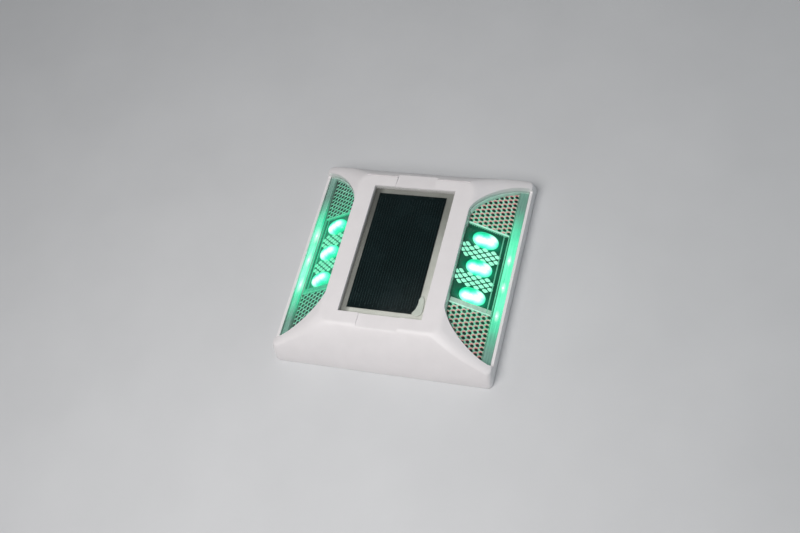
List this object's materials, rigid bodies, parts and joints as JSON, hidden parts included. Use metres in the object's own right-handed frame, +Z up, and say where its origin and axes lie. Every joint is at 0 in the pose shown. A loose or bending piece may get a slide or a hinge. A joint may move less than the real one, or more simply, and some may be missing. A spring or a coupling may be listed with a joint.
{
  "type": "raised pavement marker",
  "caption": "Square low solar road stud: white hipped cover, solar window on top, clear sloped lenses with green lamps and prism reflectors on two sides, flat keyed base.",
  "frame": {"origin": "centre of the underside, on the road surface", "axes": "+Z up out of the road; X across the two lens faces, so traffic looks along X; Y along the lenses and along the solar window"},
  "size_m": [0.118, 0.1194, 0.0243],
  "materials": {
    "white_shell": "satin to gloss moulded plastic, slightly warm white",
    "base_plastic": "matte moulded plastic",
    "seal_rubber": "black rubber sheet",
    "steel_screw": "bright stainless steel",
    "panel_backing": "pale grey-cream board under clear resin",
    "silicon_cell": "dark blue-black silicon with fine collector lines",
    "clear_resin": "clear glossy potting resin",
    "clear_lens": "clear moulded plastic lens",
    "prism_film": "clear corner-prism reflector over a bright backing",
    "green_bezel": "dark green-tinted plastic with knurled bands",
    "carrier_plastic": "grey moulded plastic",
    "lit_lamp": "green lamp dome, lit",
    "circuit_board": "green solder mask",
    "black_plastic": "black moulded plastic",
    "ferrite": "dark ferrite",
    "metal_can": "bright drawn can",
    "battery_sleeve": "blue shrink sleeve over a metal can",
    "nickel": "nickel strip",
    "button_rubber": "dark grey moulded rubber",
    "wire_red": "red insulation",
    "wire_black": "black insulation"
  },
  "bodies": {
    "housing": {"top_cover": "white_shell", "base_plate": "base_plastic", "base_seal": "seal_rubber", "base_screw_front_left": "steel_screw", "base_screw_front_right": "steel_screw", "base_screw_rear_left": "steel_screw", "base_screw_rear_right": "steel_screw", "solar_backing_board": "panel_backing", "solar_cell": "silicon_cell", "solar_window": "clear_resin", "lens_left": "clear_lens", "reflector_left_front": "prism_film", "reflector_left_rear": "prism_film", "led_bezel_left": "green_bezel", "optic_carrier_left": "carrier_plastic", "led_board_left": "circuit_board", "led_left_front": "lit_lamp", "led_left_middle": "lit_lamp", "led_left_rear": "lit_lamp", "lens_right": "clear_lens", "reflector_right_front": "prism_film", "reflector_right_rear": "prism_film", "led_bezel_right": "green_bezel", "optic_carrier_right": "carrier_plastic", "led_board_right": "circuit_board", "led_right_front": "lit_lamp", "led_right_middle": "lit_lamp", "led_right_rear": "lit_lamp", "main_board": "circuit_board", "board_screw_front": "steel_screw", "board_screw_rear": "steel_screw", "controller_chip": "black_plastic", "switch_body": "black_plastic", "inductor": "ferrite", "capacitor": "metal_can", "battery_cell": "battery_sleeve", "battery_tab_front": "nickel", "battery_tab_rear": "nickel", "solar_wire_positive": "wire_red", "battery_wire_positive": "wire_red", "solar_wire_negative": "wire_black", "battery_wire_negative": "wire_black", "led_wire_left": "wire_black", "led_wire_right": "wire_black"},
    "button": {"power_button": "button_rubber"}
  },
  "joints": [
    {"name": "button_press", "type": "slide", "parent": "housing", "child": "button", "axis": [0, 0, 1], "range_m": [0, 0.0012], "stiffness_N_per_m": 400, "springref_m": -0.002}
  ]
}
